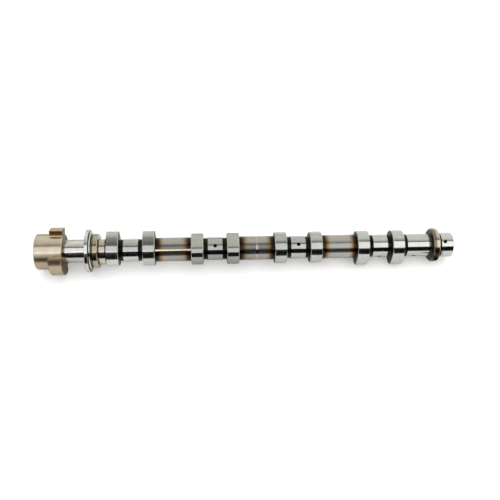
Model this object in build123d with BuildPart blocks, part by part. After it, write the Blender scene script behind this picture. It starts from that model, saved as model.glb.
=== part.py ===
from build123d import *

import math
import os

# ---------------------------------------------------------------------------------------------
# Assembled camshaft of a four-cylinder, sixteen-valve engine.
#
# A drawn steel tube carries eight cam lobes, shrunk on in pairs, with a bearing journal ground
# into the tube between the two lobes of each cylinder. A turned rear end piece holds the thrust
# flange and the pulse wheel, and a turned front end piece holds the seat of the cam phaser.
#
# +X runs along the shaft towards the drive nose and +Z is up as the shaft lies on a bench. The
# origin is on the axis, at the thrust flange's journal side. Sizes are millimetres and degrees.
# ---------------------------------------------------------------------------------------------

# Lying position: direction of the first cylinder's cam noses, from +Y towards +Z
lying_roll = 47.0

# Camshaft tube
tube_diameter = 25.0
tube_bore = 16.0
steady_band_diameter = 24.7
steady_band_width = 2.3

# Bearing journals ground on the tube and on the rear end piece
journal_diameter = 24.0
journal_width = 16.4
journal_edge = 0.5
neck_diameter = 22.8
front_journal_length = 27.2
front_neck_width = 3.6

# Cylinders and cam lobes
cylinder_pitch = 88.0
lobe_spacing = 37.6
lobe_width = 12.4
lobe_boss_diameter = 30.0
lobe_boss_height = 0.3
lobe_edge = 0.4
base_circle_diameter = 33.0
nose_radius = 11.0
valve_lift = 4.0
flank_radius = 90.0
nose_clocking = [0.0, 90.0, -90.0, 180.0]

# Oil holes, clocked from the first cylinder's noses
oil_hole_diameter = 3.3
oil_hole_edge = 0.4
rear_oil_clocking = -35.5
middle_oil_clocking = 58.5
front_oil_clocking = 152.5
front_oil_distance = 18.3

# Rear end piece, from the pulse wheel's seat to the shank in the tube
stub_diameter = 18.0
stub_proud = 3.0
rear_journal_length = 23.2
relief_width = 1.2
relief_depth = 0.6
undercut_depth = 0.3
undercut_width = 0.5
thrust_flange_diameter = 45.0
thrust_flange_width = 3.6
flange_edge = 0.4
shoulder_cone_width = 1.9
shoulder_cone_rear_diameter = 41.0
shoulder_cone_front_diameter = 38.0
shoulder_groove_width = 1.6
shoulder_groove_diameter = 34.0
rear_collar_diameter = 36.0
rear_collar_width = 5.4
rear_collar_edge = 0.6
land_groove_width = 1.0
land_groove_diameter = 25.4
timing_land_diameter = 28.4
timing_land_width = 7.1
timing_land_round = 1.6
timing_flat_distance = 11.7
timing_flat_clocking = -16.5
rear_shank_length = 30.0
gallery_diameter = 8.0
shank_edge = 1.0

# Oil gallery plug in the rear end piece
plug_diameter = 12.0
plug_height = 4.0
plug_wall = 1.2
plug_setback = 1.0

# Pulse wheel
wheel_diameter = 37.4
wheel_length = 28.4
wheel_wall = 4.0
wheel_web = 6.0
wheel_edge = 0.6
tab_diameter = 50.0
tab_width = 13.4
tab_edge = 0.4
narrow_tab_clocking = -1.0
narrow_tab_angle = 35.0
wide_tab_clocking = 146.5
wide_tab_angle = 104.0

# Front end piece, from the shank in the tube to the phaser seat
front_shank_length = 38.0
front_collar_diameter = 36.0
front_collar_width = 7.0
front_collar_rear_edge = 1.3
front_collar_front_edge = 1.0
seat_groove_width = 2.8
seat_groove_diameter = 24.4
spigot_diameter = 26.0
spigot_length = 13.5
spigot_edge = 1.0
spigot_oil_hole_diameter = 3.8
spigot_oil_setback = 9.7
bolt_pilot_diameter = 13.0
bolt_pilot_depth = 14.0
bolt_thread_bore = 10.5
bolt_thread_depth = 24.0
bolt_thread_edge = 0.75

# Dowel pin that clocks the phaser
dowel_diameter = 4.0
dowel_length = 10.0
dowel_proud = 4.0
dowel_edge = 0.5
dowel_circle_radius = 9.75
dowel_clocking = -106.5

# ---------------------------------------------------------------------------------------------
# Stations along the axis
# ---------------------------------------------------------------------------------------------
cone_start = thrust_flange_width
groove_start = cone_start + shoulder_cone_width
collar_start = groove_start + shoulder_groove_width
collar_end = collar_start + rear_collar_width
land_start = collar_end + land_groove_width
tube_rear = land_start + timing_land_width

lobe_overall_width = lobe_width + 2 * lobe_boss_height
first_pair = tube_rear + (lobe_overall_width + lobe_spacing) / 2
pair_centres = [first_pair + index * cylinder_pitch for index in range(len(nose_clocking))]
between_lobes = lobe_spacing - lobe_overall_width

front_journal_start = pair_centres[-1] + (lobe_spacing + lobe_overall_width) / 2 + front_neck_width
tube_front = front_journal_start + front_journal_length
spigot_start = tube_front + front_collar_width + seat_groove_width
nose_end = spigot_start + spigot_length

wheel_seat = -rear_journal_length
stub_end = wheel_seat - wheel_web - stub_proud
plug_depth = plug_height + plug_setback
front_oil_station = tube_front - front_oil_distance
spigot_oil_station = nose_end - spigot_oil_setback


def radial_plane(station, clocking):
    """Plane whose origin is on the axis at a station, with its normal at a clocking angle."""
    angle = math.radians(lying_roll + clocking)
    return Plane(origin=(station, 0, 0), x_dir=(1, 0, 0), z_dir=(0, math.cos(angle), math.sin(angle)))


def cross_plane(station, clocking):
    """Plane across the axis at a station, with its local X at a clocking angle."""
    angle = math.radians(lying_roll + clocking)
    return Plane(origin=(station, 0, 0), x_dir=(0, math.cos(angle), math.sin(angle)), z_dir=(1, 0, 0))


def turn(corners):
    """Turns a solid about the X axis from (station, diameter) corners, rear to front."""
    points = [(station, diameter / 2) for station, diameter in corners]
    with BuildSketch(Plane.XY) as profile:
        with BuildLine():
            Polyline((points[0][0], 0), *points, (points[-1][0], 0), close=True)
        make_face()
    revolve(profile.sketch, axis=Axis.X)


def bore(start, end, diameter):
    """Cuts a round hole along the X axis between two stations."""
    with BuildSketch(Plane.YZ.offset(start)) as mouth:
        Circle(diameter / 2)
    extrude(mouth.sketch, amount=end - start, mode=Mode.SUBTRACT)


def oil_hole(station, clocking, diameter, surface_diameter):
    """Drills a radial hole from the axis outwards and breaks its edge at the turned surface."""
    drilling = radial_plane(station, clocking)
    with BuildSketch(drilling) as mouth:
        Circle(diameter / 2)
    extrude(mouth.sketch, amount=surface_diameter, mode=Mode.SUBTRACT)
    with BuildSketch(drilling.offset(surface_diameter / 2 - oil_hole_edge)) as rim:
        Circle(diameter / 2)
    extrude(rim.sketch, amount=2 * oil_hole_edge, taper=-45, mode=Mode.SUBTRACT)


def journal_corners(rear, front):
    """Corners of a ground journal with broken edges, between two stations."""
    edge_diameter = journal_diameter - 2 * journal_edge
    return [
        (rear, edge_diameter),
        (rear + journal_edge, journal_diameter),
        (front - journal_edge, journal_diameter),
        (front, edge_diameter),
    ]


def save(piece, name):
    """Names a finished piece and writes it as parts/<name>.step."""
    piece.part.label = name
    export_step(piece.part, f"parts/{name}.step")


os.makedirs("parts", exist_ok=True)

# ---------------------------------------------------------------------------------------------
# Camshaft tube: drawn tube with four journals ground between the lobe seats, a front journal
# beside the front end piece and a narrow steady band ground at mid length
# ---------------------------------------------------------------------------------------------
journal_oil_clockings = [
    rear_oil_clocking,
    middle_oil_clocking,
    middle_oil_clocking,
    front_oil_clocking,
]
steady_centre = (pair_centres[1] + pair_centres[2]) / 2

tube_corners = [(tube_rear, tube_diameter)]
for index, centre in enumerate(pair_centres):
    ground_rear = centre - between_lobes / 2
    ground_front = centre + between_lobes / 2
    tube_corners += [(ground_rear, tube_diameter), (ground_rear, neck_diameter)]
    tube_corners += [(centre - journal_width / 2, neck_diameter)]
    tube_corners += journal_corners(centre - journal_width / 2, centre + journal_width / 2)
    tube_corners += [(centre + journal_width / 2, neck_diameter)]
    tube_corners += [(ground_front, neck_diameter), (ground_front, tube_diameter)]
    if index == 1:
        band_rear = steady_centre - steady_band_width / 2
        band_front = steady_centre + steady_band_width / 2
        tube_corners += [(band_rear, tube_diameter), (band_rear, steady_band_diameter)]
        tube_corners += [(band_front, steady_band_diameter), (band_front, tube_diameter)]
last_seat_end = front_journal_start - front_neck_width
tube_corners += [(last_seat_end, tube_diameter), (last_seat_end, neck_diameter)]
tube_corners += [(front_journal_start, neck_diameter)]
tube_corners += journal_corners(front_journal_start, tube_front - relief_width)
tube_corners += [(tube_front - relief_width, neck_diameter), (tube_front, neck_diameter)]

with BuildPart() as camshaft_tube:
    turn(tube_corners)
    bore(tube_rear, tube_front, tube_bore)
    for centre, clocking in zip(pair_centres, journal_oil_clockings):
        oil_hole(centre, clocking, oil_hole_diameter, journal_diameter)
    oil_hole(front_oil_station, front_oil_clocking, oil_hole_diameter, journal_diameter)
save(camshaft_tube, "camshaft_tube")

# ---------------------------------------------------------------------------------------------
# Cam lobes: base circle and nose circle joined by large flank arcs tangent to both, with a low
# boss round the bore on each side
# ---------------------------------------------------------------------------------------------
base_radius = base_circle_diameter / 2
nose_offset = base_radius + valve_lift - nose_radius
to_base = flank_radius - base_radius
to_nose = flank_radius - nose_radius
flank_x = (to_base**2 - to_nose**2 + nose_offset**2) / (2 * nose_offset)
flank_y = math.sqrt(to_base**2 - flank_x**2)


def cam_corner(centre_x, radius, reach):
    """Point where a circle on the nose line touches the upper flank arc."""
    return (centre_x + radius * (centre_x - flank_x) / reach, radius * flank_y / reach)


flank_foot = cam_corner(0.0, base_radius, to_base)
flank_tip = cam_corner(nose_offset, nose_radius, to_nose)
foot_angle = math.atan2(flank_foot[1] + flank_y, flank_foot[0] - flank_x)
tip_angle = math.atan2(flank_tip[1] + flank_y, flank_tip[0] - flank_x)
crown_angle = (foot_angle + tip_angle) / 2
flank_crown = (
    flank_x + flank_radius * math.cos(crown_angle),
    flank_radius * math.sin(crown_angle) - flank_y,
)

for index, centre in enumerate(pair_centres):
    for side, end_name in ((-1, "rear"), (1, "front")):
        lobe_rear = centre + side * lobe_spacing / 2 - lobe_width / 2
        with BuildPart() as cam_lobe:
            with BuildSketch(cross_plane(lobe_rear, nose_clocking[index])):
                with BuildLine():
                    ThreePointArc(
                        flank_foot, (-base_radius, 0), (flank_foot[0], -flank_foot[1])
                    )
                    ThreePointArc(
                        (flank_foot[0], -flank_foot[1]),
                        (flank_crown[0], -flank_crown[1]),
                        (flank_tip[0], -flank_tip[1]),
                    )
                    ThreePointArc(
                        (flank_tip[0], -flank_tip[1]), (nose_offset + nose_radius, 0), flank_tip
                    )
                    ThreePointArc(flank_tip, flank_crown, flank_foot)
                make_face()
            extrude(amount=lobe_width)
            side_faces = cam_lobe.faces().filter_by(Axis.X)
            chamfer(side_faces.edges(), lobe_edge)
            with BuildSketch(Plane.YZ.offset(lobe_rear - lobe_boss_height)):
                Circle(lobe_boss_diameter / 2)
            extrude(amount=lobe_overall_width)
            bore(lobe_rear - lobe_boss_height, lobe_rear + lobe_width + lobe_boss_height, tube_diameter)
        save(cam_lobe, f"cam_lobe_{index + 1}_{end_name}")

# ---------------------------------------------------------------------------------------------
# Rear end piece: wheel stub, rear journal, thrust flange, collar, timing land and shank
# ---------------------------------------------------------------------------------------------
relief_diameter = journal_diameter - 2 * relief_depth
undercut_diameter = journal_diameter + 2 * undercut_width
rear_shank_end = tube_rear + rear_shank_length

rear_corners = [
    (stub_end, stub_diameter - 2 * shank_edge),
    (stub_end + shank_edge, stub_diameter),
    (wheel_seat, stub_diameter),
    (wheel_seat, relief_diameter),
    (wheel_seat + relief_width, relief_diameter),
]
rear_corners += journal_corners(wheel_seat + relief_width, -relief_width)
rear_corners += [
    (-relief_width, relief_diameter),
    (undercut_depth, relief_diameter),
    (undercut_depth, undercut_diameter),
    (0.0, undercut_diameter),
    (0.0, thrust_flange_diameter - 2 * flange_edge),
    (flange_edge, thrust_flange_diameter),
    (thrust_flange_width - flange_edge, thrust_flange_diameter),
    (thrust_flange_width, thrust_flange_diameter - 2 * flange_edge),
    (cone_start, shoulder_cone_rear_diameter),
    (groove_start, shoulder_cone_front_diameter),
    (groove_start, shoulder_groove_diameter),
    (collar_start, shoulder_groove_diameter),
    (collar_start, rear_collar_diameter - 2 * rear_collar_edge),
    (collar_start + rear_collar_edge, rear_collar_diameter),
    (collar_end - rear_collar_edge, rear_collar_diameter),
    (collar_end, rear_collar_diameter - 2 * rear_collar_edge),
    (collar_end, land_groove_diameter),
    (land_start, land_groove_diameter),
    (land_start, timing_land_diameter),
    (tube_rear, timing_land_diameter),
    (tube_rear, tube_bore),
    (rear_shank_end - shank_edge, tube_bore),
    (rear_shank_end, tube_bore - 2 * shank_edge),
]

with BuildPart() as rear_end_piece:
    turn(rear_corners)
    tube_stop = rear_end_piece.faces().filter_by(Plane.YZ).sort_by(Axis.X)[-2]
    fillet(tube_stop.edges().sort_by(SortBy.RADIUS)[-1], timing_land_round)
    with BuildSketch(cross_plane(land_start, timing_flat_clocking)):
        with Locations((timing_flat_distance + timing_land_diameter / 2, 0)):
            Rectangle(timing_land_diameter, timing_land_diameter)
    extrude(amount=timing_land_width, mode=Mode.SUBTRACT)
    bore(stub_end, rear_shank_end, gallery_diameter)
    bore(stub_end, stub_end + plug_depth, plug_diameter)
    oil_hole(wheel_seat / 2, rear_oil_clocking, oil_hole_diameter, journal_diameter)
save(rear_end_piece, "rear_end_piece")

# Gallery plug: a thin cup pressed into the rear end piece with its open side outwards
with BuildPart() as gallery_plug:
    plug_rear = stub_end + plug_setback
    bore_end = plug_rear + plug_height
    with BuildSketch(Plane.YZ.offset(plug_rear)):
        Circle(plug_diameter / 2)
    extrude(amount=plug_height)
    bore(plug_rear, bore_end - plug_wall, plug_diameter - 2 * plug_wall)
save(gallery_plug, "gallery_plug")

# ---------------------------------------------------------------------------------------------
# Pulse wheel: a cup pressed on the stub, with one narrow and one wide tab round its web end
# ---------------------------------------------------------------------------------------------
wheel_rear = wheel_seat - wheel_length
wheel_bore = wheel_diameter - 2 * wheel_wall
wheel_corners = [
    (wheel_rear, wheel_diameter - 2 * wheel_edge),
    (wheel_rear + wheel_edge, wheel_diameter),
    (wheel_seat - wheel_edge, wheel_diameter),
    (wheel_seat, wheel_diameter - 2 * wheel_edge),
]

tab_root = (wheel_diameter - wheel_wall) / 2
tab_tip = tab_diameter / 2

with BuildPart() as pulse_wheel:
    turn(wheel_corners)
    for clocking, tab_angle in (
        (narrow_tab_clocking, narrow_tab_angle),
        (wide_tab_clocking, wide_tab_angle),
    ):
        angle = math.radians(lying_roll + clocking - tab_angle / 2)
        section_plane = Plane(
            origin=(wheel_seat - tab_width, 0, 0),
            x_dir=(1, 0, 0),
            z_dir=(0, -math.sin(angle), math.cos(angle)),
        )
        with BuildSketch(section_plane) as tab_section:
            with BuildLine():
                Polyline(
                    (0, tab_root),
                    (0, tab_tip - tab_edge),
                    (tab_edge, tab_tip),
                    (tab_width - tab_edge, tab_tip),
                    (tab_width, tab_tip - tab_edge),
                    (tab_width, tab_root),
                    close=True,
                )
            make_face()
        revolve(tab_section.sketch, axis=Axis.X, revolution_arc=tab_angle)
    bore(wheel_rear, wheel_seat - wheel_web, wheel_bore)
    bore(wheel_seat - wheel_web, wheel_seat, stub_diameter)
save(pulse_wheel, "pulse_wheel")

# ---------------------------------------------------------------------------------------------
# Front end piece: shank, collar with the phaser's seat, relief groove and pilot spigot
# ---------------------------------------------------------------------------------------------
front_shank_rear = tube_front - front_shank_length
collar_front = tube_front + front_collar_width
undercut_seat_diameter = spigot_diameter + 2 * undercut_width
pilot_floor = nose_end - bolt_pilot_depth
thread_floor = pilot_floor - bolt_thread_depth

front_corners = [
    (front_shank_rear, tube_bore - 2 * shank_edge),
    (front_shank_rear + shank_edge, tube_bore),
    (tube_front, tube_bore),
    (tube_front, front_collar_diameter - 2 * front_collar_rear_edge),
    (tube_front + front_collar_rear_edge, front_collar_diameter),
    (collar_front - front_collar_front_edge, front_collar_diameter),
    (collar_front, front_collar_diameter - 2 * front_collar_front_edge),
    (collar_front, undercut_seat_diameter),
    (collar_front - undercut_depth, undercut_seat_diameter),
    (collar_front - undercut_depth, seat_groove_diameter),
    (spigot_start, seat_groove_diameter),
    (spigot_start, spigot_diameter - 2 * flange_edge),
    (spigot_start + flange_edge, spigot_diameter),
    (nose_end - spigot_edge, spigot_diameter),
    (nose_end, spigot_diameter - 2 * spigot_edge),
]
dowel_angle = math.radians(lying_roll + dowel_clocking)
dowel_y = dowel_circle_radius * math.cos(dowel_angle)
dowel_z = dowel_circle_radius * math.sin(dowel_angle)
dowel_rear = nose_end + dowel_proud - dowel_length

with BuildPart() as front_end_piece:
    turn(front_corners)
    bore(front_shank_rear, thread_floor, gallery_diameter)
    bore(thread_floor, pilot_floor, bolt_thread_bore)
    bore(pilot_floor, nose_end, bolt_pilot_diameter)
    pilot_mouth = front_end_piece.faces().sort_by(Axis.X)[-1].edges().sort_by(SortBy.RADIUS)[0]
    chamfer(pilot_mouth, bolt_thread_edge)
    oil_hole(front_oil_station, front_oil_clocking, oil_hole_diameter, journal_diameter)
    oil_hole(spigot_oil_station, middle_oil_clocking, spigot_oil_hole_diameter, spigot_diameter)
    with BuildSketch(Plane.YZ.offset(dowel_rear)):
        with Locations((dowel_y, dowel_z)):
            Circle(dowel_diameter / 2)
    extrude(amount=dowel_length, mode=Mode.SUBTRACT)
save(front_end_piece, "front_end_piece")

# Dowel pin pressed into the nose, with both ends chamfered
with BuildPart() as phaser_dowel:
    with BuildSketch(Plane.YZ.offset(dowel_rear)):
        with Locations((dowel_y, dowel_z)):
            Circle(dowel_diameter / 2)
    extrude(amount=dowel_length)
    chamfer(phaser_dowel.edges().filter_by(GeomType.CIRCLE), dowel_edge)
save(phaser_dowel, "phaser_dowel")
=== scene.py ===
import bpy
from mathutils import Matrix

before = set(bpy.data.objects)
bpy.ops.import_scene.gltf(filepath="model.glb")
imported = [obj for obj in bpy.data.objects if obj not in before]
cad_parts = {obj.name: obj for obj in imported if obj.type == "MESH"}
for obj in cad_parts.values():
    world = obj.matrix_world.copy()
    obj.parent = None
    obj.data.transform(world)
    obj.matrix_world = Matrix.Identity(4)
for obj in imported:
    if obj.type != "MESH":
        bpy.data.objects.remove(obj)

"""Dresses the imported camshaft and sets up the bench, the lamps and the camera.

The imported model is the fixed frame, in metres, with +X along the shaft towards the drive nose.
Sizes below are millimetres and degrees unless a name says otherwise.
"""

import logging
import math
from dataclasses import dataclass
from enum import Enum

import bpy
import numpy as np
from mathutils import Matrix, Vector

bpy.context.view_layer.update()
MM = 0.001
MICROMETRE = 1e-6

logging.basicConfig(level=logging.INFO, format="%(message)s")
log = logging.getLogger("camshaft")


# ----------------------------------------------------------------------------------------------
# Small tools
# ----------------------------------------------------------------------------------------------
def linear(hex_colour: str) -> tuple[float, float, float, float]:
    """Turns an sRGB hex colour to linear RGBA.

    Args:
        hex_colour: Six hex digits, such as "B8A890".

    Returns:
        Linear red, green and blue with an alpha of 1.
    """
    channels = [int(hex_colour[i:i + 2], 16) / 255 for i in (0, 2, 4)]
    bent = [c / 12.92 if c <= 0.04045 else ((c + 0.055) / 1.055) ** 2.4 for c in channels]
    return (*bent, 1.0)


def add_node(
    tree: bpy.types.NodeTree,
    kind: str,
    feeds: dict[int | str, object] | None = None,
    stops: list[tuple[float, str]] | None = None,
    **settings: object,
) -> bpy.types.Node:
    """Adds one node with its settings, inputs and colour stops.

    Args:
        tree: The node tree that gets the node.
        kind: Blender's name for the node's type.
        feeds: For each input, the socket that is linked to it or the value that it holds.
        stops: Positions and hex colours for a node with a colour ramp.
        **settings: Properties of the node.

    Returns:
        The new node.
    """
    node = tree.nodes.new(kind)
    for name, value in settings.items():
        setattr(node, name, value)
    for name, feed in (feeds or {}).items():
        if isinstance(feed, bpy.types.NodeSocket):
            tree.links.new(feed, node.inputs[name])
        else:
            node.inputs[name].default_value = feed
    if stops:
        elements = node.color_ramp.elements
        for index, (position, hex_colour) in enumerate(stops):
            if index >= len(elements):
                elements.new(position)
            elements[index].position = position
            elements[index].color = linear(hex_colour)
    return node


def add_grid(name: str, corners: np.ndarray, material: bpy.types.Material) -> bpy.types.Object:
    """Adds a mesh of quads from a grid of points.

    Args:
        name: The new object's name.
        corners: Points in metres, as an array of rows by columns by 3.
        material: The finish of the whole mesh.

    Returns:
        The new object, at the origin and in the scene.
    """
    rows, columns = corners.shape[:2]
    index = np.arange(rows * columns).reshape(rows, columns)
    quads = np.stack([index[:-1, :-1], index[:-1, 1:], index[1:, 1:], index[1:, :-1]], axis=-1)
    mesh = bpy.data.meshes.new(name)
    mesh.from_pydata(corners.reshape(-1, 3).tolist(), [], quads.reshape(-1, 4).tolist())
    mesh.polygons.foreach_set("use_smooth", np.ones(len(mesh.polygons), dtype=bool))
    mesh.materials.append(material)
    mesh.update()
    grid = bpy.data.objects.new(name, mesh)
    bpy.context.scene.collection.objects.link(grid)
    return grid


def dress_node(node: str, material: bpy.types.Material) -> None:
    """Gives every material slot of a CAD node one finish.

    Args:
        node: The CAD node's name.
        material: The finish.
    """
    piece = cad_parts[node]
    if not piece.material_slots:
        piece.data.materials.append(material)
    for slot in piece.material_slots:
        slot.material = material
    log.info("dressed %s with %s", node, material.name)


# ----------------------------------------------------------------------------------------------
# Finishes
# ----------------------------------------------------------------------------------------------
class Zoning(Enum):
    """What a finish's bands of colour follow."""

    STATION = "distance along the axis"
    RADIUS = "distance from the axis"


@dataclass(frozen=True)
class Band:
    """A stretch of a turned piece with one colour and one roughness, up to its end.

    Attributes:
        end: The station or the radius where the band ends.
        colour: Its colour, as sRGB hex digits.
        roughness: Its roughness, from 0 for a mirror to 1.
    """

    end: float
    colour: str
    roughness: float


@dataclass(frozen=True)
class PaintedStreak:
    """A painted line along one side of the tube: painted shade where it is dark, and a painted
    highlight where it is bright.

    Attributes:
        side: The angle of its middle, up from -Y.
        outer: The angle from its middle at which it starts.
        inner: The angle from its middle within which it is full.
        colour: Its colour, as sRGB hex digits.
        shares: How strong it is at the first and the second station.
        stations: The two places along the shaft between which it changes.
    """

    side: float
    outer: float
    inner: float
    colour: str
    shares: tuple[float, float]
    stations: tuple[float, float]


@dataclass(frozen=True)
class Temper:
    """Oxide colours that heat leaves beside the shrunk-on lobes.

    Steel turns straw at about 220 degrees, then brown, purple and blue, so blue is nearest to
    the lobe. The bare stretches of tube repeat at the cylinder pitch.

    Attributes:
        middle: The station halfway along the first bare stretch.
        pitch: The distance from one bare stretch to the next.
        half_length: Half the length of a bare stretch.
        reach: How far the colours go from a lobe.
        wander: How far their edges stray.
        wander_size: The size of the waves in their edges.
        stops: Colours from the lobe outwards, as shares of the reach.
        painted_streaks: Lines of painted shade along the tube, of which the last is a painted
            highlight.
        painted_highlight_roughness: The roughness under the painted highlight line.
    """

    middle: float = 89.9
    pitch: float = 88.0
    half_length: float = 18.7
    reach: float = 10.0
    wander: float = 3.0
    wander_size: float = 9.0
    stops: tuple[tuple[float, str], ...] = (
        (0.0, "1C1C20"),
        (0.1, "24160F"),
        (0.32, "452814"),
        (0.48, "8A6A46"),
        (0.66, "BCA484"),
        (0.82, "C6BCAC"),
        (1.0, "C7C5BF"),
    )
    painted_streaks: tuple[PaintedStreak, ...] = (
        # Two lines of painted shade, then one line of painted highlight
        PaintedStreak(68.5, 19.0, 8.0, "2A1D18", (0.55, 0.12), (190.0, 250.0)),
        PaintedStreak(50.5, 9.0, 4.0, "202226", (0.75, 0.0), (195.0, 215.0)),
        PaintedStreak(54.5, 7.0, 4.0, "FFF2D0", (1.0, 0.0), (118.0, 135.0)),
    )
    painted_highlight_roughness: float = 0.12

    def hues(
        self, tree: bpy.types.NodeTree, station: bpy.types.NodeSocket, place: bpy.types.NodeSocket
    ) -> bpy.types.NodeSocket:
        """Adds the oxide colours, from the distance to the nearest lobe plus a little noise.

        Args:
            tree: The node tree.
            station: The place along the axis, in metres.
            place: The place in the object.

        Returns:
            The socket of the colour.
        """
        offset = add_node(
            tree, "ShaderNodeMath", {0: station, 1: self.middle * MM}, operation="SUBTRACT"
        )
        folded = add_node(
            tree,
            "ShaderNodeMath",
            {0: offset.outputs[0], 1: -self.pitch * MM / 2, 2: self.pitch * MM / 2},
            operation="WRAP",
        )
        beyond = add_node(tree, "ShaderNodeMath", {0: folded.outputs[0]}, operation="ABSOLUTE")
        waves = add_node(
            tree,
            "ShaderNodeTexNoise",
            {"Vector": place, "Scale": 1 / (self.wander_size * MM), "Detail": 2.0},
        )
        shifted = add_node(
            tree,
            "ShaderNodeMath",
            {0: waves.outputs[0], 1: self.wander * MM, 2: beyond.outputs[0]},
            operation="MULTIPLY_ADD",
        )
        edge = (self.half_length + self.wander / 2) * MM
        share = add_node(
            tree,
            "ShaderNodeMapRange",
            {0: shifted.outputs[0], 1: edge, 2: edge - self.reach * MM},
        )
        return add_node(
            tree, "ShaderNodeValToRGB", {0: share.outputs[0]}, stops=list(self.stops)
        ).outputs[0]

    def build(
        self, tree: bpy.types.NodeTree, station: bpy.types.NodeSocket, place: bpy.types.NodeSocket
    ) -> tuple[bpy.types.NodeSocket, bpy.types.NodeSocket]:
        """Adds the oxide colours with the painted lines of shade and highlight over them.

        Args:
            tree: The node tree.
            station: The place along the axis, in metres.
            place: The place in the object.

        Returns:
            The socket of the colour, and that of the painted highlight line's share.
        """
        hue = self.hues(tree, station, place)

        # Painted shade darkens two lines along the tube's sides, and a painted highlight brightens
        # a third
        across = add_node(
            tree, "ShaderNodeVectorMath", {0: place, 1: (0.0, 1.0, 1.0)}, operation="MULTIPLY"
        )
        outwards = add_node(
            tree, "ShaderNodeVectorMath", {0: across.outputs[0]}, operation="NORMALIZE"
        )
        for streak in self.painted_streaks:
            side = math.radians(streak.side)
            likeness = add_node(
                tree,
                "ShaderNodeVectorMath",
                {0: outwards.outputs[0], 1: (0.0, -math.cos(side), math.sin(side))},
                operation="DOT_PRODUCT",
            )
            most = add_node(
                tree,
                "ShaderNodeMapRange",
                {
                    0: station,
                    1: streak.stations[0] * MM,
                    2: streak.stations[1] * MM,
                    3: streak.shares[0],
                    4: streak.shares[1],
                },
            )
            share = add_node(
                tree,
                "ShaderNodeMapRange",
                {
                    0: likeness.outputs["Value"],
                    1: math.cos(math.radians(streak.outer)),
                    2: math.cos(math.radians(streak.inner)),
                    4: most.outputs[0],
                },
            )
            hue = add_node(
                tree,
                "ShaderNodeMix",
                {0: share.outputs[0], 6: hue, 7: linear(streak.colour)},
                data_type="RGBA",
            ).outputs[2]
        return hue, share.outputs[0]


@dataclass(frozen=True)
class PaintedShadeRing:
    """A ring of painted shade round the piece, between two stations."""

    start: float
    end: float
    colour: str

    def build(
        self,
        tree: bpy.types.NodeTree,
        station: bpy.types.NodeSocket,
        colour: bpy.types.NodeSocket,
    ) -> bpy.types.NodeSocket:
        """Adds the ring over a colour.

        Args:
            tree: The node tree.
            station: The place along the axis, in metres.
            colour: The colour under the painted shade.

        Returns:
            The socket of the shaded colour.
        """
        middle = (self.start + self.end) / 2 * MM
        inside = add_node(
            tree,
            "ShaderNodeMath",
            {0: station, 1: middle, 2: (self.end - self.start) / 2 * MM},
            operation="COMPARE",
        )
        return add_node(
            tree,
            "ShaderNodeMix",
            {0: inside.outputs[0], 6: colour, 7: linear(self.colour)},
            data_type="RGBA",
        ).outputs[2]


@dataclass(frozen=True)
class PaintedDarkSpot:
    """A round spot of painted darkness on a barrel: painted shade round an oil hole, and a painted
    dark reflection on the front collar.

    Attributes:
        station: The place of its middle along the shaft.
        side: The angle of its middle, up from -Y.
        barrel_radius: The barrel's radius.
        reach: How far the spot goes from its middle.
        core: How far from its middle it is full.
        colour: Its colour, as sRGB hex digits.
    """

    station: float
    side: float
    barrel_radius: float
    reach: float
    core: float
    colour: str

    def build(
        self,
        tree: bpy.types.NodeTree,
        place: bpy.types.NodeSocket,
        colour: bpy.types.NodeSocket,
    ) -> bpy.types.NodeSocket:
        """Adds the spot over a colour.

        Args:
            tree: The node tree.
            place: The place in the object.
            colour: The colour under the spot.

        Returns:
            The socket of the spotted colour.
        """
        side = math.radians(self.side)
        out = self.barrel_radius * MM
        centre = (self.station * MM, -out * math.cos(side), out * math.sin(side))
        gap = add_node(tree, "ShaderNodeVectorMath", {0: place, 1: centre}, operation="DISTANCE")
        share = add_node(
            tree,
            "ShaderNodeMapRange",
            {0: gap.outputs["Value"], 1: self.reach * MM, 2: self.core * MM},
        )
        return add_node(
            tree,
            "ShaderNodeMix",
            {0: share.outputs[0], 6: colour, 7: linear(self.colour)},
            data_type="RGBA",
        ).outputs[2]


# A band's roughness turns into the next one's over this share of the piece
BAND_STEP = 0.001
# How squarely a surface faces along the axis where a face's finish starts and where it is full
FACE_LEAN = (0.8, 0.9)
# Noise values between which a patch of oil, a line's tint and a line's roughness change
CLOUD_NOISE = (0.35, 0.7)
TINT_NOISE = (0.35, 0.65)
ROUGH_NOISE = (0.3, 0.7)
# How much smoother and rougher than its band a tool line is
ROUGH_SWING = (-0.03, 0.04)


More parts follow.
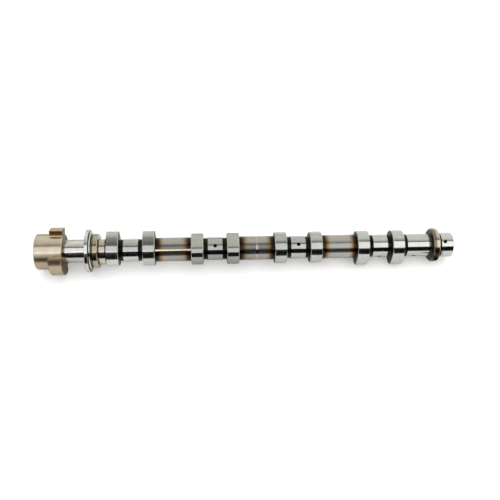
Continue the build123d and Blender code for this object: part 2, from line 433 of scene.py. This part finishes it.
@dataclass(frozen=True)
class TurnedSteel:
    """Alloy steel turned or ground between centres.

    The tool leaves fine lines round the axis, so highlights spread along the shaft and stay sharp
    across it. Oil and handling leave faint cloudy patches. Faces across the axis are as sawn or
    forged, darker and duller than the barrel, partly from that finish and partly as painted shade
    and dark reflection from the neighbouring parts.

    Attributes:
        name: The material's name.
        bands: The bands of colour and roughness, in order.
        start: The station or the radius where the first band starts.
        zoning: Whether the bands follow the station or the radius.
        spread: How far the tool lines smear a highlight, from 0 to 1.
        line_spacing: The distance between tool lines as drawn.
        line_depth: The depth of a tool line in micrometres.
        line_tint: How much darker a tool line is.
        cloud_size: The size of the patches of oil.
        cloud_colour: Their colour.
        cloud_strength: Their largest share.
        face_colour: The colour of faces across the axis.
        face_roughness: Their roughness.
        face_strength: How much of that finish they have.
        temper: The heat colours on the outermost band, if any.
        shade_ring: A ring of painted shade, if any.
        dark_spots: Spots of painted shade and painted dark reflection.
    """

    name: str
    bands: tuple[Band, ...]
    start: float
    zoning: Zoning = Zoning.STATION
    spread: float = 0.8
    line_spacing: float = 0.9
    line_depth: float = 2.0
    line_tint: float = 0.06
    cloud_size: float = 9.0
    cloud_colour: str = "8E8A80"
    cloud_strength: float = 0.15
    face_colour: str = "4C4A46"
    face_roughness: float = 0.38
    face_strength: float = 0.85
    temper: Temper | None = None
    shade_ring: PaintedShadeRing | None = None
    dark_spots: tuple[PaintedDarkSpot, ...] = ()

    def banded(
        self, tree: bpy.types.NodeTree, share: bpy.types.NodeSocket
    ) -> tuple[bpy.types.NodeSocket, bpy.types.NodeSocket]:
        """Adds the bands of colour and roughness.

        Args:
            tree: The node tree.
            share: The place between the start of the first band and the end of the last.

        Returns:
            The sockets of the colour and of the roughness.
        """
        whole = self.bands[-1].end - self.start
        joints = [(band.end - self.start) / whole for band in self.bands[:-1]]
        colour = add_node(
            tree,
            "ShaderNodeValToRGB",
            {0: share},
            stops=[(at, band.colour) for at, band in zip([0.0, *joints], self.bands)],
        )
        colour.color_ramp.interpolation = "CONSTANT"
        rough = add_node(tree, "ShaderNodeFloatCurve", {1: share})
        curve = rough.mapping.curves[0]
        curve.points[0].location = (0.0, self.bands[0].roughness)
        curve.points[1].location = (1.0, self.bands[-1].roughness)
        for at, band, following in zip(joints, self.bands, self.bands[1:]):
            curve.points.new(at - BAND_STEP, band.roughness)
            curve.points.new(at + BAND_STEP, following.roughness)
        for point in curve.points:
            point.handle_type = "VECTOR"
        rough.mapping.update()
        return colour.outputs[0], rough.outputs[0]

    def heated(
        self,
        tree: bpy.types.NodeTree,
        radius: bpy.types.NodeSocket,
        heat: tuple[bpy.types.NodeSocket, bpy.types.NodeSocket],
        barrel: tuple[bpy.types.NodeSocket, bpy.types.NodeSocket],
    ) -> tuple[bpy.types.NodeSocket, bpy.types.NodeSocket]:
        """Puts the heat colours on the outermost band, which the grinding wheel never reached.

        Args:
            tree: The node tree.
            radius: The distance from the axis, in metres.
            heat: The heat's colour and the share of its painted highlight line.
            barrel: The colour and the roughness under it.

        Returns:
            The sockets of the colour and of the roughness.
        """
        outside = add_node(
            tree,
            "ShaderNodeMath",
            {0: radius, 1: self.bands[-2].end * MM},
            operation="GREATER_THAN",
        )
        colour = add_node(
            tree,
            "ShaderNodeMix",
            {0: outside.outputs[0], 6: barrel[0], 7: heat[0]},
            data_type="RGBA",
        )
        highlight_share = add_node(
            tree, "ShaderNodeMath", {0: outside.outputs[0], 1: heat[1]}, operation="MULTIPLY"
        )
        rough = add_node(
            tree,
            "ShaderNodeMix",
            {0: highlight_share.outputs[0], 2: barrel[1], 3: self.temper.painted_highlight_roughness},
            data_type="FLOAT",
        )
        return colour.outputs[2], rough.outputs[0]

    def clouded(
        self,
        tree: bpy.types.NodeTree,
        place: bpy.types.NodeSocket,
        colour: bpy.types.NodeSocket,
    ) -> bpy.types.NodeSocket:
        """Adds faint patches of old oil and handling over a colour.

        Args:
            tree: The node tree.
            place: The place in the object.
            colour: The colour under the patches.

        Returns:
            The socket of the patchy colour.
        """
        cloud = add_node(
            tree,
            "ShaderNodeTexNoise",
            {"Vector": place, "Scale": 1 / (self.cloud_size * MM), "Detail": 4.0, "Roughness": 0.6},
        )
        share = add_node(
            tree,
            "ShaderNodeMapRange",
            {
                0: cloud.outputs[0],
                1: CLOUD_NOISE[0],
                2: CLOUD_NOISE[1],
                3: 0.0,
                4: self.cloud_strength,
            },
        )
        return add_node(
            tree,
            "ShaderNodeMix",
            {0: share.outputs[0], 6: colour, 7: linear(self.cloud_colour)},
            data_type="RGBA",
        ).outputs[2]

    def tool_lines(
        self,
        tree: bpy.types.NodeTree,
        on_face: bpy.types.NodeSocket,
        station: bpy.types.NodeSocket,
        radius: bpy.types.NodeSocket,
    ) -> bpy.types.NodeSocket:
        """Adds the tool lines, read along the axis on a barrel and along the radius on a face.

        Real lines are about 0.1 mm apart, and these are drawn wider so that they show.

        Args:
            tree: The node tree.
            on_face: 1 on a face across the axis and 0 on a barrel.
            station: The place along the axis, in metres.
            radius: The distance from the axis, in metres.

        Returns:
            The socket of the lines' height.
        """
        where = add_node(
            tree, "ShaderNodeMix", {0: on_face, 2: station, 3: radius}, data_type="FLOAT"
        )
        return add_node(
            tree,
            "ShaderNodeTexNoise",
            {"W": where.outputs[0], "Scale": 1 / (self.line_spacing * MM), "Detail": 3.0},
            noise_dimensions="1D",
        ).outputs[0]

    def build(self) -> bpy.types.Material:
        """Builds the material.

        Returns:
            The finished material.
        """
        material = bpy.data.materials.new(self.name)
        material.use_nodes = True
        tree = material.node_tree
        tree.nodes.clear()
        place = add_node(tree, "ShaderNodeTexCoord").outputs["Object"]
        split = add_node(tree, "ShaderNodeSeparateXYZ", {0: place})
        station = split.outputs[0]
        across = add_node(tree, "ShaderNodeCombineXYZ", {1: split.outputs[1], 2: split.outputs[2]})
        radius = add_node(
            tree, "ShaderNodeVectorMath", {0: across.outputs[0]}, operation="LENGTH"
        ).outputs["Value"]

        # The barrel: bands, heat colours and oil
        share = add_node(
            tree,
            "ShaderNodeMapRange",
            {
                0: station if self.zoning is Zoning.STATION else radius,
                1: self.start * MM,
                2: self.bands[-1].end * MM,
            },
        )
        colour, rough = self.banded(tree, share.outputs[0])
        if self.temper:
            heat = self.temper.build(tree, station, place)
            colour, rough = self.heated(tree, radius, heat, (colour, rough))
        if self.shade_ring:
            colour = self.shade_ring.build(tree, station, colour)
        for spot in self.dark_spots:
            colour = spot.build(tree, place, colour)
        colour = self.clouded(tree, place, colour)

        # Faces across the axis: a darker, duller finish, partly painted shade and dark reflection
        normal = add_node(tree, "ShaderNodeTexCoord").outputs["Normal"]
        facing = add_node(tree, "ShaderNodeSeparateXYZ", {0: normal})
        faced = add_node(tree, "ShaderNodeMath", {0: facing.outputs[0]}, operation="ABSOLUTE")
        on_face = add_node(
            tree,
            "ShaderNodeMapRange",
            {0: faced.outputs[0], 1: FACE_LEAN[0], 2: FACE_LEAN[1]},
        ).outputs[0]
        face_share = add_node(
            tree, "ShaderNodeMath", {0: on_face, 1: self.face_strength}, operation="MULTIPLY"
        )
        base = add_node(
            tree,
            "ShaderNodeMix",
            {0: face_share.outputs[0], 6: colour, 7: linear(self.face_colour)},
            data_type="RGBA",
        )
        dull = add_node(
            tree,
            "ShaderNodeMix",
            {0: face_share.outputs[0], 2: rough, 3: self.face_roughness},
            data_type="FLOAT",
        )

        # Tool lines tint, roughen and raise the steel
        lines = self.tool_lines(tree, on_face, station, radius)
        line_share = add_node(
            tree,
            "ShaderNodeMapRange",
            {0: lines, 1: TINT_NOISE[0], 2: TINT_NOISE[1], 3: 1.0 - self.line_tint, 4: 1.0},
        )
        lined = add_node(
            tree,
            "ShaderNodeVectorMath",
            {0: base.outputs[2], "Scale": line_share.outputs[0]},
            operation="SCALE",
        )
        line_rough = add_node(
            tree,
            "ShaderNodeMapRange",
            {0: lines, 1: ROUGH_NOISE[0], 2: ROUGH_NOISE[1], 3: ROUGH_SWING[0], 4: ROUGH_SWING[1]},
        )
        roughness = add_node(
            tree, "ShaderNodeMath", {0: dull.outputs[0], 1: line_rough.outputs[0]}, operation="ADD"
        )
        bump = add_node(
            tree,
            "ShaderNodeBump",
            {"Height": lines, "Strength": 1.0, "Distance": self.line_depth * MICROMETRE},
        )

        # Reflections smear across the tool lines: along the axis on a barrel, outwards on a face
        smear = add_node(
            tree,
            "ShaderNodeMix",
            {0: on_face, 4: (1.0, 0.0, 0.0), 5: across.outputs[0]},
            data_type="VECTOR",
        )
        steel = add_node(
            tree,
            "ShaderNodeBsdfPrincipled",
            {
                "Base Color": lined.outputs[0],
                "Metallic": 1.0,
                "Roughness": roughness.outputs[0],
                "Anisotropic": self.spread,
                "Tangent": smear.outputs[1],
                "Normal": bump.outputs[0],
            },
        )
        add_node(tree, "ShaderNodeOutputMaterial", {0: steel.outputs[0]})
        return material


# ----------------------------------------------------------------------------------------------
# Sub-assemblies
# ----------------------------------------------------------------------------------------------
GROUND = "D6D6D2"
POLISHED = "F2F2F0"
LOBE = "D8D9D4"
# Necks and grooves: painted shade and dark reflection in the recesses
GROOVE_SHADE = "1C1916"
BRONZED = "F4E8D2"
# Painted shade round the mouths of the low oil holes
HOLE_SHADE = "12100E"


@dataclass
class Tube:
    """The drawn tube with its ground journals.

    The radii are those where the bore, the dark necks, the journals and the tube end. The dark
    necks are painted shade and dark reflection. The oil holes that face low towards the camera's
    side have painted shade round them, and a ring of painted shade lies beside the front collar.
    """

    node: str = "camshaft_tube"
    bore_radius: float = 8.1
    neck_radius: float = 11.88
    journal_radius: float = 12.42
    outer_radius: float = 13.0
    # A ring of painted shade on the tube beside the front collar
    collar_shade_ring: PaintedShadeRing = PaintedShadeRing(362.4, 366.0, "6E6A60")
    # Painted shade round the mouths of the two low oil holes
    hole_shade_spots: tuple[PaintedDarkSpot, ...] = (
        PaintedDarkSpot(309.9, -14.5, 12.0, 2.3, 1.9, HOLE_SHADE),
        PaintedDarkSpot(347.7, -14.5, 12.0, 2.3, 1.9, HOLE_SHADE),
    )

    def dress(self) -> None:
        """Gives the tube its bands from the bore outwards."""
        # Cold-drawn steel is a dull satin that smears lamps along the tube, and the journals
        # ground into it are near mirrors with one crisp black line
        finish = TurnedSteel(
            "drawn_tube_steel",
            (
                Band(self.bore_radius, "4A4640", 0.5),
                Band(self.neck_radius, GROOVE_SHADE, 0.4),
                Band(self.journal_radius, GROUND, 0.165),
                Band(self.outer_radius, "C7C5BF", 0.34),
            ),
            start=0.0,
            zoning=Zoning.RADIUS,
            spread=0.85,
            # Dark cross faces: partly painted shade and dark reflection
            face_colour="34322E",
            face_strength=1.0,
            temper=Temper(),
            shade_ring=self.collar_shade_ring,
            dark_spots=self.hole_shade_spots,
        )
        dress_node(self.node, finish.build())


@dataclass
class LobeSet:
    """The eight cam lobes, two to a cylinder. The nose's reach is past the tip of any lobe."""

    cylinders: int = 4
    nose_reach: float = 22.0

    def dress(self) -> None:
        """Gives every lobe the ground finish."""
        # Hardened and ground cam steel is pale and finely grained on the cam, and near black on
        # its sintered sides, partly their own finish and partly painted shade and dark reflection
        # from the neighbouring lobes
        finish = TurnedSteel(
            "ground_cam_steel",
            (Band(self.nose_reach, LOBE, 0.19),),
            start=0.0,
            zoning=Zoning.RADIUS,
            line_depth=1.4,
            face_colour="302E33",
            face_roughness=0.42,
            face_strength=1.0,
        )
        material = finish.build()
        for cylinder in range(1, self.cylinders + 1):
            for end in ("rear", "front"):
                dress_node(f"cam_lobe_{cylinder}_{end}", material)


@dataclass
class RearEnd:
    """The rear end piece, the pulse wheel and the gallery plug.

    Each value is the station or the radius where a finish's band starts or ends, and shoulder
    lists the narrow rings between the flange and the collar, which are painted reflection, dark
    and bright.
    """

    wheel_rear: float = -51.6
    stub_end: float = -32.2
    journal_end: float = 0.0
    flange_end: float = 3.3
    # Narrow rings of painted reflection, dark and bright, between the flange and the collar
    shoulder_reflection_rings: tuple[Band, ...] = (
        Band(4.2, "34322D", 0.2),
        Band(5.2, "E4E4E0", 0.16),
        Band(5.9, "24221D", 0.3),
        Band(6.7, "8A8272", 0.3),
        Band(7.4, "241C12", 0.3),
    )
    collar_end: float = 12.5
    land_start: float = 13.5
    shank_end: float = 50.6
    wheel_radius: float = 19.3
    tab_radius: float = 24.7
    wheel_reach: float = 26.0

    def dress(self) -> None:
        """Gives each piece its finish."""
        # Turned and polished steel is bright and clean up to the flange, and straw-coloured from
        # heat on the collar and the land
        steel = TurnedSteel(
            "turned_end_steel",
            (
                Band(self.journal_end, POLISHED, 0.14),
                Band(self.flange_end, "F6F8F5", 0.16),
                *self.shoulder_reflection_rings,
                Band(self.collar_end, "C8BAA4", 0.19),
                Band(self.land_start, GROOVE_SHADE, 0.3),
                Band(self.shank_end, "DED4C2", 0.17),
            ),
            start=self.stub_end,
            face_colour="A6A49C",
            face_roughness=0.18,
        )
        dress_node("rear_end_piece", steel.build())

        # Pressed steel with a yellow passivated coat is a warm satin, deeper on cut faces, which is
        # partly painted shade and dark reflection
        bronzed = TurnedSteel(
            "bronzed_wheel_steel",
            (
                Band(self.wheel_radius, BRONZED, 0.3),
                # The darker band out to the tabs' reach is painted shade on the tabs' sides and
                # ends
                Band(self.tab_radius, "8E7444", 0.4),
                Band(self.wheel_reach, BRONZED, 0.3),
            ),
            start=0.0,
            zoning=Zoning.RADIUS,
            spread=0.85,
            line_tint=0.1,
            face_colour="82683F",
            face_roughness=0.3,
            face_strength=1.0,
            cloud_colour="A88E78",
            cloud_strength=0.3,
        )
        dress_node("pulse_wheel", bronzed.build())

        # Zinc plate is an even pale grey with a hint of yellow
        plated = TurnedSteel(
            "zinc_plated_steel", (Band(self.journal_end, "C4C2B0", 0.3),), start=self.wheel_rear
        )
        dress_node("gallery_plug", plated.build())


@dataclass
class FrontEnd:
    """The front end piece and its dowel pin.

    Each station is where a band of finish starts or ends. The collar's rim has a painted dark
    reflection low down on the camera's side.
    """

    shank_start: float = 328.0
    collar_start: float = 366.0
    rim_start: float = 369.0
    collar_end: float = 373.0
    groove_end: float = 375.8
    nose_end: float = 389.3
    pin_end: float = 393.3
    # A painted dark reflection low on the collar's rim
    rim_dark_reflection: PaintedDarkSpot = PaintedDarkSpot(371.0, 14.0, 16.7, 9.5, 4.5, "3E3224")

    def dress(self) -> None:
        """Gives each piece its finish."""
        # Turned steel is bright on the spigot, where the phaser seats, darker on the collar's rear
        # edge, and carries a painted dark reflection low on the collar's rim
        steel = TurnedSteel(
            "turned_nose_steel",
            (
                Band(self.collar_start, GROOVE_SHADE, 0.4),
                Band(self.rim_start, "8C8474", 0.26),
                Band(self.collar_end, "D8CAB6", 0.2),
                Band(self.groove_end, GROOVE_SHADE, 0.3),
                Band(self.nose_end, "DEDEDA", 0.16),
            ),
            start=self.shank_start,
            # Dark cross faces: partly painted shade and dark reflection
            face_colour="3C3A32",
            face_strength=1.0,
            dark_spots=(self.rim_dark_reflection,),
        )
        dress_node("front_end_piece", steel.build())

        # Hardened pin steel is a little darker and finely ground all over
        pin = TurnedSteel(
            "hardened_pin_steel", (Band(self.pin_end, "9C9A96", 0.22),), start=self.shank_start
        )
        dress_node("phaser_dowel", pin.build())


# ----------------------------------------------------------------------------------------------
# Studio
# ----------------------------------------------------------------------------------------------
Tones = tuple[tuple[float, str], ...]

BLACK = "101010"
WHITE = "FFFFFF"
WALL = "CECEC8"


def plain_light(name: str, hex_colour: str, strength: float = 1.0) -> bpy.types.Material:
    """Builds a card's material, which shines evenly.

    Args:
        name: The material's name.
        hex_colour: The card's colour.
        strength: How bright it is, where 1 is white.

    Returns:
        The material.
    """
    material = bpy.data.materials.new(name)
    material.use_nodes = True
    tree = material.node_tree
    tree.nodes.clear()
    glow = add_node(tree, "ShaderNodeEmission", {0: linear(hex_colour), 1: strength})
    add_node(tree, "ShaderNodeOutputMaterial", {0: glow.outputs[0]})
    return material


def toned(
    tree: bpy.types.NodeTree, tones: Tones, axis: int, span: tuple[float, float]
) -> bpy.types.NodeSocket:
    """Adds the nodes of a colour that changes along one axis.

    Args:
        tree: The node tree.
        tones: Shares of the span with the colour there.
        axis: 0, 1 or 2 for a change along X, Y or Z.
        span: The two places where the tones' shares are 0 and 1.

    Returns:
        The socket of the colour.
    """
    place = add_node(tree, "ShaderNodeTexCoord").outputs["Object"]
    split = add_node(tree, "ShaderNodeSeparateXYZ", {0: place})
    share = add_node(
        tree,
        "ShaderNodeMapRange",
        {0: split.outputs[axis], 1: span[0] * MM, 2: span[1] * MM},
    )
    return add_node(
        tree, "ShaderNodeValToRGB", {0: share.outputs[0]}, stops=list(tones)
    ).outputs[0]


def shaded_light(
    name: str, tones: Tones, axis: int, span: tuple[float, float], strength: float = 1.0
) -> bpy.types.Material:
    """Builds a card's material whose glow changes evenly across it.

    Args:
        name: The material's name.
        tones: Shares of the span with the card's colour there.
        axis: 0, 1 or 2 for a change along X, Y or Z.
        span: The two places where the tones' shares are 0 and 1.
        strength: How bright it is, where 1 is white.

    Returns:
        The material.
    """
    material = bpy.data.materials.new(name)
    material.use_nodes = True
    tree = material.node_tree
    tree.nodes.clear()
    shade = toned(tree, tones, axis, span)
    glow = add_node(tree, "ShaderNodeEmission", {0: shade, 1: strength})
    add_node(tree, "ShaderNodeOutputMaterial", {0: glow.outputs[0]})
    return material


def seen(tree: bpy.types.NodeTree) -> bpy.types.NodeSocket:
    """Adds the nodes that tell rays that see the background from rays that carry light.

    Args:
        tree: The node tree.

    Returns:
        The socket that is 1 for a ray from the camera, a reflection or through glass.
    """
    path = add_node(tree, "ShaderNodeLightPath").outputs
    either = add_node(
        tree,
        "ShaderNodeMath",
        {0: path["Is Camera Ray"], 1: path["Is Glossy Ray"]},
        operation="MAXIMUM",
    )
    return add_node(
        tree,
        "ShaderNodeMath",
        {0: either.outputs[0], 1: path["Is Transmission Ray"]},
        operation="MAXIMUM",
    ).outputs[0]


@dataclass(frozen=True)
class Softbox:
    """A long lamp beside the shaft.

    Attributes:
        name: The lamp's name.
        low: Elevation of its lower edge on the camera's side, seen from the shaft.
        high: Elevation of its upper edge.
        ends: Stations of its two ends.
        glow: How bright its face is, where 1 is white.
        mirrored: Whether the steel reflects its face.
    """

    name: str
    low: float
    high: float
    ends: tuple[float, float]
    glow: float
    mirrored: bool = True


@dataclass(frozen=True)
class Block:
    """A black card on the camera's side, between two stations and up to its top."""

    ends: tuple[float, float]
    top: float


@dataclass(frozen=True)
class Bay:
    """A stretch of the room along the shaft, with how bright its ceiling and its wall are."""

    name: str
    ends: tuple[float, float]
    ceiling_glow: float
    wall_glow: float


ROOM_ENDS = (-1800.0, 2100.0)


@dataclass
class Studio:
    """A pale bench, a long soft lamp overhead, cards for the reflections and the camera.

    Lengths are in millimetres and angles in degrees. The camera stands over stand_station, at
    stand_distance from the axis, and looks at aim_station, with the axis aim_drop above the
    middle of the picture. The bench slopes so that it carries the flange and the front collar.
    The black and brown cards stand at cards_y, from cards_foot up. Outlines of cards are (y, z)
    places. Tones are colours at shares of a span.
    """

    aim_station: float = 171.1
    aim_drop: float = 2.1
    stand_station: float = 127.3
    stand_distance: float = 692.8
    elevation: float = 59.5
    roll: float = 1.02
    lens: float = 46.8

    floor_station: float = 3.2
    floor_height: float = -22.5
    floor_slope: float = 0.708
    floor_size: float = 8000.0
    floor_paint: str = "FBFBFA"
    floor_seen: float = 0.15
    floor_span: tuple[float, float] = (-50.0, 400.0)
    # What the steel sees of the bench: painted shade of the shaft's shadow, darkest under its
    # middle
    floor_shade_tones: Tones = (
        (0.0, "A8A296"),
        (0.055, "B0ACA4"),
        (0.11, "C0C0BE"),
        (0.16, "E4E4E2"),
        (0.26, "C8C8C6"),
        (0.37, "A6A6A4"),
        (0.47, "A6A6A4"),
        (0.57, "C4C4C2"),
        (0.8, "D0D0CE"),
    )

    world_strength: float = 1.1
    lamp_distance: float = 1100.0
    overhead: Softbox = Softbox(
        "overhead_softbox", 50.0, 112.0, (-450.0, 950.0), 1.04, mirrored=False
    )
    rear_strip: Softbox = Softbox("rear_strip_softbox", 47.0, 52.0, (-900.0, 60.0), 1.0)

    face_outline: tuple[tuple[float, float], ...] = (
        (-990.0, 950.0),
        (-870.0, 1010.0),
        (30.0, 1200.0),
    )
    face_glow: float = 1.4
    face_tones: Tones = (
        (0.0, "DBDBDB"),
        (0.372, "DBDBDB"),
        (0.41, "D0D0D0"),
        (0.435, "D6D6D6"),
        (0.449, "C6C6C6"),
        (0.477, "B8B8B8"),
        (0.52, "B6B6B6"),
        (0.55, "C8C8C8"),
        (0.577, "D2D2D2"),
        (0.613, "F7F7F7"),
        (0.65, "FFFFFF"),
    )

    cards_y: float = -320.0
    cards_foot: float = -22.0
    blocks: tuple[Block, ...] = (
        Block((-130.0, 200.0), 346.0),
        Block((200.0, 350.0), 309.0),
        Block((350.0, ROOM_ENDS[1]), 284.0),
    )
    shade_outline: tuple[tuple[float, float], ...] = ((-19.0, -17.4), (-64.0, -17.4))
    shade_ends: tuple[float, float] = (371.5, 383.0)
    brown_ends: tuple[float, float] = (ROOM_ENDS[0], -130.0)
    brown_top: float = 309.0
    brown_span: tuple[float, float] = (-22.0, 268.0)
    brown_tones: Tones = (
        (0.0, "0A0602"),
        (0.1, "0A0602"),
        (0.17, "423420"),
        (0.28, "665C46"),
        (0.43, "8F8468"),
        (0.58, "E0DCCE"),
        (0.75, "FFFFFF"),
    )

    ceiling_height: float = 1200.0
    ceiling_start: float = 30.0
    wall_place: float = 1500.0
    wall_foot: float = 0.0
    ceiling_span: tuple[float, float] = (30.0, 900.0)
    ceiling_tones: Tones = (
        (0.0, "0A0A0A"),
        (0.065, "101010"),
        (0.1, "6A6A66"),
        (0.2, "8E8E88"),
        (0.36, "A8A8A2"),
        (0.62, "C6C6C0"),
        (1.0, "CECEC8"),
    )
    bays: tuple[Bay, ...] = (
        Bay("rear", (ROOM_ENDS[0], 0.0), 1.0, 1.25),
        Bay("middle", (0.0, 560.0), 1.0, 1.0),
        Bay("front", (560.0, ROOM_ENDS[1]), 1.4, 1.4),
    )

    def camera(self) -> None:
        """Places the camera over the shaft's rear half, aimed at the middle, slightly rolled."""
        tilt = math.radians(self.elevation)
        stand = MM * Vector(
            (
                self.stand_station,
                -self.stand_distance * math.cos(tilt),
                self.stand_distance * math.sin(tilt),
            )
        )
        aim = MM * Vector((self.aim_station, 0.0, 0.0))
        axis = Vector((1.0, 0.0, 0.0))
        forward = (aim - stand).normalized()
        level = (axis - axis.dot(forward) * forward).normalized()
        upright = level.cross(forward)
        turn = math.radians(self.roll)
        right = math.cos(turn) * level - math.sin(turn) * upright
        up = right.cross(forward)
        forward = (aim - self.aim_drop * MM * up - stand).normalized()
        right = (right - right.dot(forward) * forward).normalized()
        up = right.cross(forward)
        data = bpy.data.cameras.new("camera")
        data.lens = self.lens
        camera = bpy.data.objects.new("camera", data)
        camera.matrix_world = Matrix(
            (
                (right.x, up.x, -forward.x, stand.x),
                (right.y, up.y, -forward.y, stand.y),
                (right.z, up.z, -forward.z, stand.z),
                (0.0, 0.0, 0.0, 1.0),
            )
        )
        bpy.context.scene.collection.objects.link(camera)
        bpy.context.scene.camera = camera

    def bench_material(self) -> bpy.types.Material:
        """Builds the bench's paint, which is white to the eye and greyer in the steel, with painted
        shade.

        Returns:
            The material.
        """
        # Matt laminate is near white with soft shadows, and the steel sees it greyer, most of
        # all under the middle of the shaft, as painted shade of the shaft's shadow on the bench
        material = bpy.data.materials.new("pale_bench")
        material.use_nodes = True
        tree = material.node_tree
        tree.nodes.clear()
        path = add_node(tree, "ShaderNodeLightPath").outputs
        greyer = toned(tree, self.floor_shade_tones, 0, self.floor_span)
        tone = add_node(
            tree,
            "ShaderNodeMix",
            {0: path["Is Glossy Ray"], 6: linear(self.floor_paint), 7: greyer},
            data_type="RGBA",
        )
        paint = add_node(tree, "ShaderNodeBsdfDiffuse", {0: tone.outputs[2]})
        white = add_node(tree, "ShaderNodeEmission", {0: linear(WHITE), 1: 1.0})
        share = add_node(
            tree,
            "ShaderNodeMath",
            {0: path["Is Camera Ray"], 1: self.floor_seen},
            operation="MULTIPLY",
        )
        both = add_node(
            tree,
            "ShaderNodeMixShader",
            {0: share.outputs[0], 1: paint.outputs[0], 2: white.outputs[0]},
        )
        add_node(tree, "ShaderNodeOutputMaterial", {0: both.outputs[0]})
        return material

    def bench(self) -> None:
        """Lays the pale bench under the flange and the front collar."""
        half = self.floor_size / 2
        slope = math.tan(math.radians(self.floor_slope))
        x, y = np.meshgrid(
            self.aim_station + np.array([-half, half]), np.array([-half, half]), indexing="ij"
        )
        z = self.floor_height + (x - self.floor_station) * slope
        floor = add_grid("bench", MM * np.stack([x, y, z], axis=-1), self.bench_material())

    def world(self) -> None:
        """Fills the room with even light and shows it white."""
        world = bpy.data.worlds.new("studio_room")
        bpy.context.scene.world = world
        world.use_nodes = True
        tree = world.node_tree
        tree.nodes.clear()
        fill = add_node(tree, "ShaderNodeBackground", {0: linear(WHITE), 1: self.world_strength})
        white = add_node(tree, "ShaderNodeBackground", {0: linear(WHITE), 1: 1.0})
        both = add_node(
            tree,
            "ShaderNodeMixShader",
            {0: seen(tree), 1: fill.outputs[0], 2: white.outputs[0]},
        )
        add_node(tree, "ShaderNodeOutputWorld", {0: both.outputs[0]})

    def lamp(self, box: Softbox) -> None:
        """Hangs a long soft lamp beside the shaft, between two angles of elevation.

        Args:
            box: The lamp's place and brightness.
        """
        tilt = math.radians((box.low + box.high) / 2)
        width = 2 * self.lamp_distance * math.tan(math.radians(box.high - box.low) / 2) * MM
        length = (box.ends[1] - box.ends[0]) * MM
        data = bpy.data.lights.new(box.name, "AREA")
        data.shape = "RECTANGLE"
        data.size = length
        data.size_y = width
        data.energy = box.glow * math.pi * length * width
        lamp = bpy.data.objects.new(box.name, data)
        away = Vector((0.0, -math.cos(tilt), math.sin(tilt)))
        middle = Vector(((box.ends[0] + box.ends[1]) / 2 * MM, 0.0, 0.0))
        lamp.location = middle + self.lamp_distance * MM * away
        lamp.rotation_euler = (math.radians(90.0) - tilt, 0.0, 0.0)
        lamp.visible_camera = False
        lamp.visible_glossy = box.mirrored
        bpy.context.scene.collection.objects.link(lamp)

    def card(
        self,
        name: str,
        outline: tuple[tuple[float, float], ...],
        ends: tuple[float, float],
        material: bpy.types.Material,
    ) -> None:
        """Stands a card beside the shaft, seen by reflections only.

        Args:
            name: The card's name.
            outline: Its outline across the shaft, as (y, z) places.
            ends: Stations of its two ends.
            material: What it looks like in the steel.
        """
        points = np.zeros((len(ends), len(outline), 3))
        points[:, :, 0] = np.array(ends)[:, None]
        points[:, :, 1:] = np.array(outline)[None]
        card = add_grid(name, MM * points, material)
        card.visible_camera = False
        card.visible_diffuse = False
        card.visible_shadow = False
        card.visible_transmission = False

    def softbox_face(self) -> None:
        """Hangs what polished steel sees of the softbox, which is brightest over the nose."""
        sky = shaded_light("softbox_face", self.face_tones, 0, ROOM_ENDS, self.face_glow)
        self.card("softbox_face", self.face_outline, ROOM_ENDS, sky)

    def dark_side(self) -> None:
        """Stands black cards below the lamps, and a brown glow opposite the pulse wheel."""
        mat = ((self.cards_y / 2, self.cards_foot), (self.cards_y, self.cards_foot))
        black = plain_light("black_card", BLACK)
        for number, block in enumerate(self.blocks, start=1):
            outline = (*mat, (self.cards_y, block.top))
            self.card(f"black_block_{number}", outline, block.ends, black)
        self.card("nose_shade", self.shade_outline, self.shade_ends, black)
        brown = shaded_light("brown_side_card", self.brown_tones, 2, self.brown_span)
        outline = ((self.cards_y, self.cards_foot), (self.cards_y, self.brown_top))
        self.card("brown_side_card", outline, self.brown_ends, brown)

    def room(self) -> None:
        """Adds the ceiling, dark near the lamps and paler beyond, and the wall behind it."""
        corner = (self.wall_place, self.ceiling_height)
        for bay in self.bays:
            ceiling = shaded_light(
                f"ceiling_{bay.name}",
                self.ceiling_tones,
                1,
                self.ceiling_span,
                bay.ceiling_glow,
            )
            outline = ((self.ceiling_start, self.ceiling_height), corner)
            self.card(f"ceiling_{bay.name}", outline, bay.ends, ceiling)
            wall = plain_light(f"grey_wall_{bay.name}", WALL, bay.wall_glow)
            outline = (corner, (self.wall_place, self.wall_foot))
            self.card(f"grey_wall_{bay.name}", outline, bay.ends, wall)

    def build(self) -> None:
        """Sets up everything round the camshaft."""
        self.camera()
        self.world()
        self.bench()
        self.lamp(self.overhead)
        self.lamp(self.rear_strip)
        self.softbox_face()
        self.dark_side()
        self.room()
        log.info("studio is set up")


def main() -> None:
    """Builds every sub-assembly's looks, then the studio."""
    bpy.context.scene.view_settings.view_transform = "Standard"
    Tube().dress()
    LobeSet().dress()
    RearEnd().dress()
    FrontEnd().dress()
    Studio().build()


if __name__ == "__main__":
    main()
